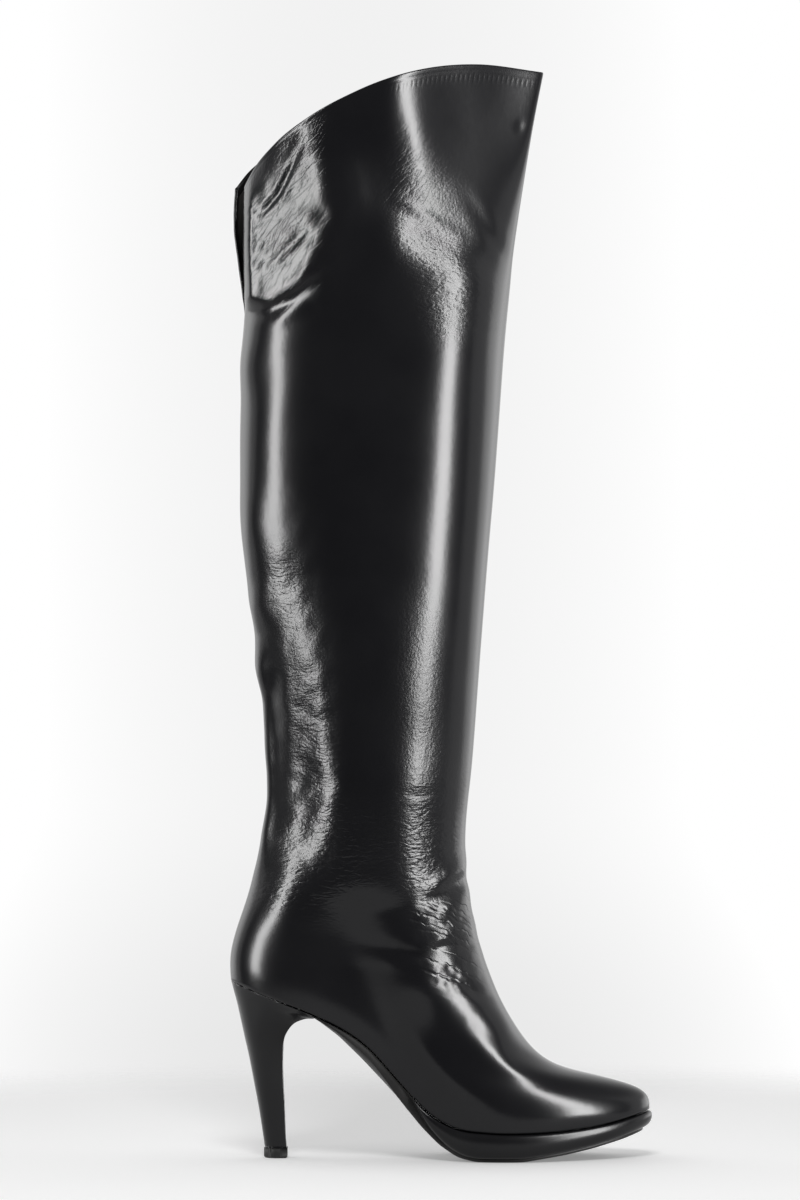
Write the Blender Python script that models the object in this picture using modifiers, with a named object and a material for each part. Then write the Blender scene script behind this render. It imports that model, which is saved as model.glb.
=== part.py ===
"""Tall over-the-knee boot for the right foot, on a high covered heel and a slim platform.

The boot stands on z = 0 with its toe along +X and its outer side along -Y. Tables and sizes are in
millimetres, with x measured from the back of the heel; the boot is centred on the origin at the end.
"""

import math

import bmesh
import bpy
import numpy as np

MM = 0.001

# Driving dimensions
LENGTH = 238.0  # back of the heel to the front of the platform
WALL = 1.6  # leather and lining together
LASTING_MARGIN = 6.0  # upper turned in under the foot
GAP = 0.3  # between pieces that touch on the real boot
SEAM_GAP = 0.5  # between the turned-in edge of the upper and the pieces below it
TOE_SWING = 6.0  # how far the toe leans to the inner side
ARCH_HOLLOW = 2.5  # the inner side of the waist is this much narrower
SLIT_GAP = 15.0  # width of the back slit at the collar
FLAP_LAG = 6.0  # how far the inner flap of the slit stands behind the outer one
FLAP_BULGE = 6.0  # slack leather pushed out at the foot of the slit
PLATFORM_LEDGE = 1.4  # platform beyond the edge of the upper
OUTSOLE_INSET = 3.5  # outsole inside the edge of the platform
INSOLE_THICKNESS = 2.2
HEEL_TIP_HEIGHT = 5.5
HEEL_TIP_LIP = 0.5  # heel tip beyond the covered heel

# Mesh density
SIDE_COLUMNS = 26
FOOT_STEPS = 3  # rows between two rings of the upper round the foot
SHAFT_STEPS = 2
END_COLUMNS = 8  # columns round the heel end and the toe end of a sole piece
HEEL_COLUMNS = 12
HEEL_STEPS = 2

OUTER, INNER = -1, 1


def table(columns, rows):
    """A table's columns by name, as arrays."""
    return dict(zip(columns.split(), np.array(rows, float).T))


# Underside of the last along the boot: heel seat, arch, ball and toe spring
SOLE_LINE = table(
    "x z",
    [
        (0, 100), (24, 91), (53, 79.5), (78, 64), (98, 42), (112, 27.5),
        (126, 19.5), (145, 16.6), (165, 16.3), (193, 18), (215, 21.3), (238, 27.3),
    ],
)

# Top edge of the collar, low at the slit behind and high over the knee
COLLAR_LINE = table(
    "x z",
    [(8.4, 541), (15, 552), (27, 565), (45, 578), (70, 591), (100, 602.5), (140, 609), (176.4, 606.5)],
)

# Rings of the upper round the foot. Half widths are across the boot at fixed shares of the ring's chord,
# heel_r and toe_r are the radii of its two ends, and follow is how closely it keeps the sole's arch.
FOOT = table(
    "back_x back_z front_x front_z follow heel_r seat waist ball toe toe_r",
    [
        (1.6, 99.4, 236.2, 26.9, 1.0, 22.0, 29.2, 25.0, 40.5, 26.5, 13),
        (0.2, 105.0, 237.3, 30.3, 1.0, 22.0, 30.0, 26.5, 42.3, 28.0, 14),
        (0.7, 112.0, 233.0, 35.8, 1.0, 22.0, 30.2, 27.3, 42.3, 28.0, 12),
        (2.8, 121.0, 219.0, 42.2, 1.0, 21.0, 29.6, 28.0, 40.6, 28.3, 14),
        (5.0, 129.0, 203.0, 47.0, 1.0, 19.0, 28.8, 29.0, 38.4, 27.5, 17),
        (8.5, 138.5, 180.0, 53.6, 0.9, 17.0, 27.6, 29.8, 34.8, 30.5, 21),
        (12.0, 150.0, 161.0, 73.0, 0.6, 14.5, 25.5, 31.0, 32.8, 25.5, 20),
        (15.5, 164.0, 147.5, 100.0, 0.3, 12.5, 21.8, 32.2, 32.9, 23.5, 19.5),
    ],
)
WIDTH_SHARES = (0.0, 0.13, 0.42, 0.66, 0.88, 1.0)

# Rings of the shaft from the ankle to the collar. Each is an ellipse, less full at the back where the seam
# pinches it and at the front where the cuff is folded.
SHAFT = table(
    "back_x back_z front_x front_z half_depth collar_follow pinch fold",
    [
        (18.6, 180, 138.4, 128, 34.8, 0.0, 10.0, 2.6),
        (21.2, 203, 132.6, 172, 36.6, 0.0, 14.5, 4.8),
        (19.8, 240, 137.0, 226, 39.0, 0.0, 15.5, 6.0),
        (15.6, 288, 141.6, 284, 42.5, 0.0, 12.0, 4.2),
        (8.0, 345, 146.2, 344, 46.5, 0.0, 6.0, 1.6),
        (7.0, 412, 151.8, 412, 49.5, 0.0, 1.0, 0.4),
        (9.4, 472, 156.4, 472, 52.5, 0.0, 0.0, 1.5),
        (8.6, 504, 163.4, 532, 54.0, 0.5, 0.0, 11.0),
        (8.5, 520, 168.2, 562, 54.6, 0.75, 0.0, 26.0),
        (8.4, 541, 176.4, 606.5, 55.0, 1.0, 0.0, 29.0),
    ],
)
PINCH_SHARES = (1.25, 1.0, 0.2, 0.0, 0.0, 0.0)
FOLD_SHARES = (0.0, 0.0, 0.0, 0.50, 1.18, 1.55)
SLIT_FOOT_RING = len(FOOT["back_x"]) + 6

# Undersides of the platform and of the outsole, both flat where the ball meets the floor
PLATFORM_BASE = table(
    "x z",
    [
        (103.5, 34.6), (107, 27), (111, 20), (118, 12.2), (124.5, 6.8), (131, 3.4), (138, 1.9),
        (165, 1.9), (188, 5.2), (204, 8.4), (220, 12.5), (238, 18.4),
    ],
)
OUTSOLE_BASE = table(
    "x z",
    [
        (41, 83.8), (46.5, 80.6), (52.5, 76.6), (62, 69.5), (75, 56.6), (88, 42.5), (100, 29.0),
        (108, 19.0), (118, 9.0), (128, 2.4), (138, 0), (165, 0), (188, 3.4), (204, 6.6), (220, 10.8),
        (236, 16),
    ],
)

# The platform's side from below: parts of the ledge it stands out, and its share of the height
PLATFORM_EDGE = table(
    "ledge share",
    [(-4, 0.0), (-1.2, 0.03), (0.3, 0.2), (1, 0.5), (0.8, 0.82), (-0.3, 0.98), (-3, 1.0)],
)

# The outsole's side from below: how far it stands out, its share of the height, and that at the rounded waist
OUTSOLE_EDGE = table(
    "grow share waist_share",
    [(-14, 0.0, 0.0), (-6, 0.0, 0.2), (-1.0, 0.06, 0.45), (-0.2, 0.5, 0.62), (-0.4, 1.0, 1.0)],
)

# Places along the sole where every sole piece has an edge across it, closer together at the platform's back
SOLE_STATIONS = (
    41, 44, 47, 50, 54, 58, 62, 67, 72, 77, 82, 87, 92, 97, 100.5, 103.5, 105.5, 107.5, 110, 113, 117,
    121, 126, 131, 138, 147, 156, 165, 174, 182, 190, 198,
)

# The covered heel from the seat down to its tip, D-shaped with the flat side at the breast
HEEL = table(
    "back_x back_z front_x front_z half_width seat_follow",
    [
        (1.9, 98.9, 49.0, 78.6, 28.8, 1.0),
        (3.2, 93.5, 47.0, 77.9, 26.6, 0.8),
        (5.0, 86.8, 42.5, 76.9, 23.2, 0.45),
        (7.2, 77.0, 36.2, 74.3, 19.6, 0.15),
        (9.4, 67.0, 31.8, 67.6, 16.6, 0.0),
        (11.7, 57.0, 30.8, 57.4, 14.0, 0.0),
        (14.2, 44.0, 30.9, 44.0, 11.6, 0.0),
        (17.2, 28.0, 31.7, 28.0, 9.6, 0.0),
        (19.4, 14.0, 32.2, 14.0, 8.0, 0.0),
        (20.6, 5.8, 32.8, 5.8, 7.2, 0.0),
    ],
)
HEEL_WIDEST = 0.55  # share of the heel's length where its round back ends
HEEL_BREAST_TAPER = 0.12
SCARF_LEAD = 6.0  # the heel's seat drops this far behind the end of the outsole


def smooth(at, knots, values):
    """A cubic through the values, with each slope taken from the two neighbours."""
    knots, values = np.asarray(knots, float), np.asarray(values, float)
    slopes = np.gradient(values, knots)
    at = np.clip(at, knots[0], knots[-1])
    i = np.clip(np.searchsorted(knots, at, side="right") - 1, 0, len(knots) - 2)
    span = knots[i + 1] - knots[i]
    t = (at - knots[i]) / span
    return (
        (1 + 2 * t) * (1 - t) ** 2 * values[i]
        + t * (1 - t) ** 2 * span * slopes[i]
        + t * t * (3 - 2 * t) * values[i + 1]
        + t * t * (t - 1) * span * slopes[i + 1]
    )


def height(line, x):
    return smooth(x, line["x"], line["z"])


def flat_height(line, x):
    """As height, with straight runs, for a line that has to stay flat on the floor."""
    return np.interp(x, line["x"], line["z"])


def sole_offset(x, distance):
    """The sole line moved by a distance along its own normal, upwards if positive."""
    step = 0.5
    slope = (height(SOLE_LINE, x + step) - height(SOLE_LINE, x - step)) / (2 * step)
    return height(SOLE_LINE, x) + distance * np.sqrt(1 + slope**2)


def toe_swing(x):
    """Sideways bend of the foot's centre line, from the waist to the toe."""
    waist = 90.0
    return TOE_SWING * (np.maximum(x - waist, 0) / (LENGTH - waist)) ** 1.5


def ring_sizes():
    """Every ring of the upper as columns: its two ends, how it follows the lines, and its fullness.

    Fullness is the half width over that of a unit ellipse, so a plain ellipse has it constant.
    """
    shares = np.array(WIDTH_SHARES[1:-1])
    unit = 2 * np.sqrt(shares * (1 - shares))
    chord = FOOT["front_x"] - FOOT["back_x"]
    foot_fullness = [
        np.sqrt(FOOT["heel_r"] * chord / 2),
        *(FOOT[name] / u for name, u in zip(("seat", "waist", "ball", "toe"), unit)),
        np.sqrt(FOOT["toe_r"] * chord / 2),
    ]
    sizes = {name: np.append(FOOT[name], SHAFT[name]) for name in ("back_x", "back_z", "front_x", "front_z")}
    none_on_shaft = np.zeros(len(SHAFT["back_x"]))
    none_on_foot = np.zeros(len(FOOT["back_x"]))
    sizes["follow"] = np.append(FOOT["follow"], none_on_shaft)
    sizes["collar_follow"] = np.append(none_on_foot, SHAFT["collar_follow"])
    for k, fullness in enumerate(foot_fullness):
        flattened = PINCH_SHARES[k] * SHAFT["pinch"] + FOLD_SHARES[k] * SHAFT["fold"]
        sizes[f"fullness_{k}"] = np.append(fullness, SHAFT["half_depth"] - flattened)
    return sizes


def ring_at(sizes, v):
    """The sizes of a ring between the tables' rings, v counting rings from the feather edge."""
    travel = np.hypot(np.diff(sizes["back_x"]), np.diff(sizes["back_z"])) + np.hypot(
        np.diff(sizes["front_x"]), np.diff(sizes["front_z"])
    )
    knots = np.append(0, np.cumsum(travel))
    at = np.interp(v, range(len(knots)), knots)
    return {name: smooth(at, knots, values) for name, values in sizes.items()}


def upper_side(sizes, v, side, columns):
    """Points of one side of the upper along ring v, from the back of the boot to its front."""
    ring = ring_at(sizes, v)
    slit = max(v - SLIT_FOOT_RING, 0) / (len(sizes["back_x"]) - 1 - SLIT_FOOT_RING)
    start = math.asin(slit * SLIT_GAP / 2 / ring["fullness_0"])
    angle = start + (math.pi - start) * np.linspace(0, 1, columns + 1)
    share = (1 - np.cos(angle)) / 2
    fullness = smooth(share, WIDTH_SHARES, [ring[f"fullness_{k}"] for k in range(len(WIDTH_SHARES))])
    x = ring["back_x"] + (ring["front_x"] - ring["back_x"]) * share
    half = fullness * np.sin(angle)
    if side == INNER:
        half -= ARCH_HOLLOW * ring["follow"] * np.exp(-(((share - 0.42) / 0.13) ** 2))
    line = ring["back_z"] + (ring["front_z"] - ring["back_z"]) * share
    z = line + ring["follow"] * bow(SOLE_LINE, ring, x, share)
    z += ring["collar_follow"] * bow(COLLAR_LINE, ring, x, share)
    near_slit = np.exp(-((share / 0.10) ** 2))
    slack = math.exp(-(((v - SLIT_FOOT_RING - 0.35) / 0.5) ** 2))
    half += FLAP_BULGE * slack * np.exp(-(((share - 0.07) / 0.06) ** 2)) * (side == OUTER)
    x -= FLAP_LAG * math.sin(math.pi * slit * 0.6) * near_slit * (side == INNER)
    y = side * half + toe_swing(x) * ring["follow"]
    return np.stack([x, y, z], axis=1)


def bow(line, ring, x, share):
    """How far a line departs from its own chord over a ring, zero at the ring's two ends."""
    ends = height(line, ring["back_x"]), height(line, ring["front_x"])
    return height(line, x) - (ends[0] + (ends[1] - ends[0]) * share)


def lasted_edge(points, centre_y):
    """The ring under the foot where the upper is turned in, on the sole line."""
    along = np.gradient(points, axis=0)
    away = np.stack([along[:, 1], -along[:, 0]], axis=1)
    away /= np.linalg.norm(away, axis=1, keepdims=True)
    away *= np.sign((away[:, 1] * (points[:, 1] - centre_y)).sum())
    turned = points.copy()
    turned[:, :2] -= LASTING_MARGIN * away
    turned[[0, -1], 1] = points[[0, -1], 1]
    turned[:, 2] = height(SOLE_LINE, turned[:, 0])
    return turned


def finish(mesh_builder, name, material, parent, collection):
    """Closes a piece's mesh, scales it to metres and places it under the boot's empty."""
    bmesh.ops.remove_doubles(mesh_builder, verts=mesh_builder.verts, dist=0.01)
    bmesh.ops.dissolve_degenerate(mesh_builder, edges=mesh_builder.edges, dist=0.005)
    bmesh.ops.recalc_face_normals(mesh_builder, faces=mesh_builder.faces)
    bmesh.ops.scale(mesh_builder, vec=(MM, MM, MM), verts=mesh_builder.verts)
    mesh = bpy.data.meshes.new(name)
    mesh_builder.to_mesh(mesh)
    mesh_builder.free()
    mesh.shade_smooth()
    mesh.set_sharp_from_angle(angle=math.radians(40))
    mesh.materials.append(material)
    piece = bpy.data.objects.new(name, mesh)
    collection.objects.link(piece)
    piece.parent = parent
    return piece


def add_grid(mesh_builder, rows):
    """Quads between rows of equal numbers of points."""
    made = [[mesh_builder.verts.new(point) for point in row] for row in rows]
    for low, high in zip(made, made[1:]):
        for j in range(len(low) - 1):
            mesh_builder.faces.new((low[j], low[j + 1], high[j + 1], high[j]))
    return made


def stacked(rings):
    """A closed solid from rings stacked on each other, each a pair of sides from back to front."""
    mesh_builder = bmesh.new()
    loops = [np.concatenate([outer, inner[::-1], outer[:1]]) for outer, inner in rings]
    made = add_grid(mesh_builder, loops)
    count = len(rings[0][0])
    for row in (made[0], made[-1]):
        for j in range(count - 1):
            opposite = 2 * count - 1 - j
            mesh_builder.faces.new((row[j], row[j + 1], row[opposite - 1], row[opposite]))
    return mesh_builder


def make_upper(material, parent, collection):
    """Vamp, counter and shaft as one leather wall, open at the collar, the back slit and underneath."""
    sizes = ring_sizes()
    last = len(sizes["back_x"]) - 1
    ankle = len(FOOT["back_x"])
    levels = np.append(
        np.arange(0, ankle, 1 / FOOT_STEPS), np.linspace(ankle, last, (last - ankle) * SHAFT_STEPS + 1)
    )
    mesh_builder = bmesh.new()
    for side in (OUTER, INNER):
        rows = [upper_side(sizes, v, side, SIDE_COLUMNS) for v in levels]
        rows.insert(0, lasted_edge(rows[0], toe_swing(rows[0][:, 0])))
        add_grid(mesh_builder, rows)
    piece = finish(mesh_builder, "upper", material, parent, collection)
    wall = piece.modifiers.new("wall", "SOLIDIFY")
    wall.thickness = WALL * MM
    wall.offset = -1
    wall.use_even_offset = True
    wall.use_quality_normals = True
    return piece


def stations(start, back, front):
    """Places along a sole piece, shared by all pieces between the heel end and the toe end."""

    def turn(x):
        return math.acos(1 - 2 * (x - back) / (front - back))

    def places(angles):
        return back + (front - back) * (1 - np.cos(angles)) / 2

    run = np.array(SOLE_STATIONS)
    toe_end = places(np.linspace(turn(run[-1]), math.pi, END_COLUMNS + 1)[1:])
    if start > back:
        return np.concatenate([run[run >= start], toe_end])
    heel_end = places(np.linspace(0, turn(run[0]), END_COLUMNS + 1)[:-1])
    return np.concatenate([heel_end, run, toe_end])


def footprint(start, grow):
    """Plan outline of the foot at the feather edge, grown outwards, on both sides from x = start."""
    sizes = ring_sizes()
    ring = {name: values[0] for name, values in sizes.items()}
    back, front = ring["back_x"] - grow, ring["front_x"] + grow
    x = stations(start, back, front)
    share = np.clip((x - back) / (front - back), 0, 1)
    fullness = smooth(share, WIDTH_SHARES, [ring[f"fullness_{k}"] for k in range(len(WIDTH_SHARES))])
    half = (fullness + grow) * 2 * np.sqrt(np.maximum(share * (1 - share), 0))
    hollow = ARCH_HOLLOW * np.exp(-(((share - 0.42) / 0.13) ** 2))
    middle = toe_swing(x)
    return x, middle - half, middle + half - hollow


def contour(start, grow, level):
    """A ring of a sole piece: the footprint's outline at the heights that level gives along x."""
    x, outer, inner = footprint(start, grow)
    z = level(x)
    return np.stack([x, outer, z], axis=1), np.stack([x, inner, z], axis=1)


def outsole_top(x):
    waist = sole_offset(x, -SEAM_GAP)
    under_platform = flat_height(PLATFORM_BASE, x) - GAP
    return np.where(x < PLATFORM_BASE["x"][0], waist, np.minimum(under_platform, waist))


def make_platform(material, parent, collection):
    """The covered wedge under the ball and toes, with rolled edges."""
    start = PLATFORM_BASE["x"][0]

    def between(share):
        def level(x):
            low, high = flat_height(PLATFORM_BASE, x), sole_offset(x, -SEAM_GAP)
            return low + (high - low) * share

        return level

    rings = [
        contour(start, PLATFORM_LEDGE * ledge, between(share))
        for ledge, share in zip(PLATFORM_EDGE["ledge"], PLATFORM_EDGE["share"])
    ]
    return finish(stacked(rings), "platform", material, parent, collection)


def make_outsole(material, parent, collection):
    """The walking sole, thin under the platform and rounded under the waist up to the heel."""
    start = OUTSOLE_BASE["x"][0]

    waist_end, waist_run = 96.0, 26.0

    def ring(grow, share, waist_share):
        x, outer, inner = footprint(start, grow - OUTSOLE_INSET)
        middle = (outer + inner) / 2
        half = (inner - outer) / 2 + OUTSOLE_INSET * (1 - np.clip((x - waist_end) / waist_run, 0, 1))
        low, high = flat_height(OUTSOLE_BASE, x), outsole_top(x)
        waist = np.clip((waist_end + 4 - x) / 20, 0, 1)
        z = low + (high - low) * np.maximum(share, waist * waist_share)
        return np.stack([x, middle - half, z], axis=1), np.stack([x, middle + half, z], axis=1)

    rings = [ring(*row) for row in zip(*OUTSOLE_EDGE.values())]
    return finish(stacked(rings), "outsole", material, parent, collection)


def heel_top(x):
    """Seat of the heel, scarfed down under the end of the outsole."""
    seat = sole_offset(x, -SEAM_GAP)
    scarf = flat_height(OUTSOLE_BASE, x) - 3 * GAP
    return np.where(x < OUTSOLE_BASE["x"][0] - SCARF_LEAD, seat, np.minimum(seat, scarf))


def heel_outline(back_x, front_x, half_width):
    """D-shaped plan of the heel: x and half width from the round back to the breast."""
    t = np.linspace(0, 1, HEEL_COLUMNS + 1)
    round_end = 0.6
    turn = np.clip(t / round_end, 0, 1) * math.pi / 2
    run = np.clip((t - round_end) / (1 - round_end), 0, 1)
    share = HEEL_WIDEST * (1 - np.cos(turn)) + (1 - HEEL_WIDEST) * run
    half = half_width * np.sin(turn) * (1 - HEEL_BREAST_TAPER * run**2)
    return back_x + (front_x - back_x) * share, half, share


def make_heel(material, parent, collection):
    """The covered heel, its seat under the counter and its breast swept into the waist."""
    count = len(HEEL["back_x"])
    rings = []
    for v in np.linspace(0, count - 1, (count - 1) * HEEL_STEPS + 1):
        row = {name: float(smooth(v, range(count), values)) for name, values in HEEL.items()}
        x, half, share = heel_outline(row["back_x"], row["front_x"], row["half_width"])
        line = row["back_z"] + (row["front_z"] - row["back_z"]) * share
        ends = heel_top(x[0]), heel_top(x[-1])
        z = line + row["seat_follow"] * (heel_top(x) - ends[0] - (ends[1] - ends[0]) * share)
        rings.append((np.stack([x, -half, z], axis=1), np.stack([x, half, z], axis=1)))
    return finish(stacked(rings), "heel", material, parent, collection)


def make_heel_tip(material, parent, collection):
    """The rubber top piece that the heel walks on."""
    back, front, half = HEEL["back_x"][-1], HEEL["front_x"][-1], HEEL["half_width"][-1]
    rings = []
    for lip, z in ((-0.3, 0.0), (HEEL_TIP_LIP, 0.8), (HEEL_TIP_LIP, HEEL_TIP_HEIGHT)):
        x, width, _ = heel_outline(back - lip, front + lip, half + lip)
        level = np.full_like(x, z)
        rings.append((np.stack([x, -width, level], axis=1), np.stack([x, width, level], axis=1)))
    return finish(stacked(rings), "heel_tip", material, parent, collection)


def make_insole(material, parent, collection):
    """The sock that the foot stands on, lying on the turned-in edge of the upper."""
    inside = WALL + 2.6
    low = WALL + 3 * GAP
    rings = []
    for inset, share in ((0, 0), (0, 0.7), (0.8, 1)):
        rise = low + INSOLE_THICKNESS * share
        rings.append(contour(0, -inside - inset, lambda x, rise=rise: sole_offset(x, rise)))
    return finish(stacked(rings), "insole", material, parent, collection)


def surface(name, colour, roughness):
    material = bpy.data.materials.new(name)
    material.use_nodes = True
    shader = material.node_tree.nodes["Principled BSDF"]
    shader.inputs["Base Color"].default_value = (*colour, 1)
    shader.inputs["Roughness"].default_value = roughness
    shader.inputs["Metallic"].default_value = 0.0
    return material


def main():
    for old in list(bpy.data.objects):
        bpy.data.objects.remove(old)
    collection = bpy.data.collections.new("tall_boot")
    bpy.context.scene.collection.children.link(collection)
    boot = bpy.data.objects.new("boot_centre", None)
    boot.location.x = -LENGTH / 2 * MM
    collection.objects.link(boot)
    polished = surface("polished_leather", (0.012, 0.012, 0.014), 0.22)
    covered = surface("covered_leather", (0.014, 0.014, 0.015), 0.32)
    sole_leather = surface("sole_leather", (0.02, 0.019, 0.018), 0.45)
    rubber = surface("tip_rubber", (0.018, 0.018, 0.018), 0.6)
    lining = surface("sock_leather", (0.03, 0.028, 0.027), 0.55)
    make_upper(polished, boot, collection)
    make_insole(lining, boot, collection)
    make_platform(covered, boot, collection)
    make_outsole(sole_leather, boot, collection)
    make_heel(covered, boot, collection)
    make_heel_tip(rubber, boot, collection)


main()
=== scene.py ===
# %% [markdown]
# # A tall polished boot
# The boot arrives as six plain solids that already have the right sizes and places. This lesson dresses
# them for a portrait: a supple leather upper with its folds, a lining, a covered heel and platform, and
# a burnished sole. The solids are never moved. Each new piece stands in for one of them.

import math

import bpy
import numpy as np
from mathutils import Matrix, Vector


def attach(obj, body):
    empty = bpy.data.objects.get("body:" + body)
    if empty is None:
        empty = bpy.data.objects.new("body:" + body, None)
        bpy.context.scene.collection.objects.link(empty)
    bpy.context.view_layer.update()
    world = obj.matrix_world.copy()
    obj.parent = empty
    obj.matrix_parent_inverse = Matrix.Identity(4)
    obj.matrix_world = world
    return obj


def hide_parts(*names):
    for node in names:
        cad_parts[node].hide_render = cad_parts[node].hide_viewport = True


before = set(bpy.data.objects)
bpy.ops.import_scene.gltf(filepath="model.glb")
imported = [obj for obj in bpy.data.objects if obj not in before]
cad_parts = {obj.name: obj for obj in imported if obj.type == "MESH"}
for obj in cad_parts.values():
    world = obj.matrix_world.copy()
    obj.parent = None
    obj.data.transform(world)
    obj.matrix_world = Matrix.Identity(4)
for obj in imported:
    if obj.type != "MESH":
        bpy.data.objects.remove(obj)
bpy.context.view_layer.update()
print("solids:", ", ".join(sorted(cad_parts)))

# %% [markdown]
# ## Where the viewer stands
# Boots are photographed from the side with a long lens, from far away, so that the shaft stays straight.
# The camera looks level along +Y at about half the boot's height, 3.5 m away. Its sensor's tall side
# shows 0.672 m at the boot, which is the height of the picture.

# %% Camera
VIEW_DISTANCE = 3.5
PICTURE_HEIGHT = 0.672
SENSOR = 36
camera = bpy.data.objects.new("camera", bpy.data.cameras.new("camera"))
bpy.context.scene.collection.objects.link(camera)
camera.location = (-0.0227, -VIEW_DISTANCE, 0.312)
camera.rotation_euler = (math.radians(90), 0, 0)
camera.data.sensor_fit = "VERTICAL"
camera.data.sensor_height = SENSOR
camera.data.sensor_width = SENSOR
camera.data.lens = SENSOR * VIEW_DISTANCE / PICTURE_HEIGHT
bpy.context.scene.camera = camera
print("lens: %.1f mm" % camera.data.lens)

# %% [markdown]
# ## Arithmetic on shader sockets
# A leather's grain is a sum of noises and masks. Written as nodes that is a tangle, so one small class
# wraps an output socket, and Python's own operators add the Math nodes. Every other node comes from its
# `node` method, which takes a type, the settings to make first, and the sockets' values or links.

# %% A wire from a socket
class Wire:
    """An output of a node tree that can be added, multiplied and fed to further nodes."""

    def __init__(self, tree, socket=None):
        self.tree, self.socket = tree, socket

    def node(self, kind, settings=None, sockets=None, out=0):
        made = self.tree.nodes.new(kind)
        for name, value in (settings or {}).items():
            setattr(made, name, value)
        for name, value in (sockets or {}).items():
            if isinstance(value, Wire):
                self.tree.links.new(value.socket, made.inputs[name])
            else:
                made.inputs[name].default_value = value
        return Wire(self.tree, made.outputs[out])

    def maths(self, operation, first, second=0.0):
        return self.node("ShaderNodeMath", {"operation": operation}, {0: first, 1: second})

    def __add__(self, other):
        return self.maths("ADD", self, other)

    def __sub__(self, other):
        return self.maths("SUBTRACT", self, other)

    def __rsub__(self, other):
        return self.maths("SUBTRACT", other, self)

    def __mul__(self, other):
        return self.maths("MULTIPLY", self, other)

    def __truediv__(self, other):
        return self.maths("DIVIDE", self, other)

    def __abs__(self):
        return self.maths("ABSOLUTE", self)

    __radd__ = __add__
    __rmul__ = __mul__

    def ramp(self, low, high):
        """0 below low and 1 above high, eased between them; the other way round if low is above high."""
        ends = {"From Min": min(low, high), "From Max": max(low, high)}
        if low > high:
            ends.update({"To Min": 1.0, "To Max": 0.0})
        sockets = {"Value": self, **ends}
        return self.node("ShaderNodeMapRange", {"interpolation_type": "SMOOTHSTEP"}, sockets)

    def blend(self, dark, light):
        """A colour between two, by this value."""
        return self.node("ShaderNodeMix", {"data_type": "RGBA"}, {0: self, 6: dark, 7: light}, out=2)


# %% [markdown]
# ## The studio
# Black polished leather shows hardly any colour of its own: what the eye reads is the room in it. Here
# two tall softboxes draw the two long streaks down the shaft, a pale surround behind the boot makes the
# grey rims, and the room in front stays dark. The surround is a world whose brightness depends on the
# direction; seen straight on it is simply pale, from every side. Two brighter panels behind the boot, one
# on each side, are there for mirrored rays only and brighten those rims.

# %% Pale surround
BEHIND, IN_FRONT, BELOW = 1.02, 0.006, 0.5
SEEN_MIDDLE, SEEN_LEAST, SEEN_MOST = 0.885, 0.78, 1.0
RIGHT_PANEL, LEFT_PANEL = 2.5, 1.7
world = bpy.data.worlds.new("studio")
bpy.context.scene.world = world
world.use_nodes = True
room = Wire(world.node_tree)
direction = room.node("ShaderNodeTexCoord", out="Generated")
across, away, upward = (
    room.node("ShaderNodeSeparateXYZ", sockets={"Vector": direction}, out=axis) for axis in "XYZ"
)
behind = (away + across * 0.18).ramp(-0.05, 0.04) * upward.ramp(0.95, 0.55)
below = upward.ramp(-0.30, -0.55)
reflected = behind * BEHIND + (1 - behind) * (below * BELOW + IN_FRONT)
seen = SEEN_MIDDLE + across * across * 45 + across * 0.5 - upward.ramp(-0.03, -0.075) * 0.10
seen = seen.node("ShaderNodeClamp", {}, {"Value": seen, "Min": SEEN_LEAST, "Max": SEEN_MOST})
right_panel = across.ramp(0.0, 0.2) * away.ramp(0.17, 0.33) * RIGHT_PANEL
left_panel = across.ramp(0.0, -0.2) * away.ramp(0.32, 0.52) * LEFT_PANEL
panels = (right_panel + left_panel) * away.ramp(0.95, 0.62)
panels = panels * upward.ramp(-0.22, -0.06) * upward.ramp(0.5, 0.2)
mirrored = room.node("ShaderNodeLightPath", out="Is Glossy Ray")
looking = room.node("ShaderNodeLightPath", out="Is Camera Ray")
strength = looking * seen + (1 - looking) * reflected + mirrored * panels
backdrop = world.node_tree.nodes["Background"]
backdrop.inputs["Color"].default_value = (1.0, 1.0, 1.0, 1.0)
world.node_tree.links.new(strength.socket, backdrop.inputs["Strength"])
print("surround nodes:", len(world.node_tree.nodes))

# %% Softboxes
BOOT_AXIS = Vector((-0.04, 0.0, 0.0))


def softbox(name, bearing, width, low, high, radiance, distance=1.3):
    """A tall lamp at a bearing right of the camera's line, with the given radiance."""
    lamp = bpy.data.lights.new(name, "AREA")
    lamp.shape = "RECTANGLE"
    lamp.size, lamp.size_y = width, high - low
    lamp.energy = radiance * math.pi * width * (high - low)
    turn = math.radians(bearing)
    box = bpy.data.objects.new(name, lamp)
    bpy.context.scene.collection.objects.link(box)
    box.location = BOOT_AXIS + Vector((math.sin(turn), -math.cos(turn), 0)) * distance
    box.location.z = (low + high) / 2
    box.rotation_mode = "QUATERNION"
    box.rotation_quaternion = Vector((-math.sin(turn), math.cos(turn), 0)).to_track_quat("-Z", "Y")
    box.visible_camera = False
    return box


softboxes = [
    softbox("softbox_right", 53.5, 0.27, 0.02, 1.75, 36.0),
    softbox("softbox_left", -70.5, 0.25, 0.02, 1.60, 28.5),
]
bpy.context.scene.view_settings.view_transform = "Standard"
print("lamps:", [lamp.name for lamp in bpy.data.lights])
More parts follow.
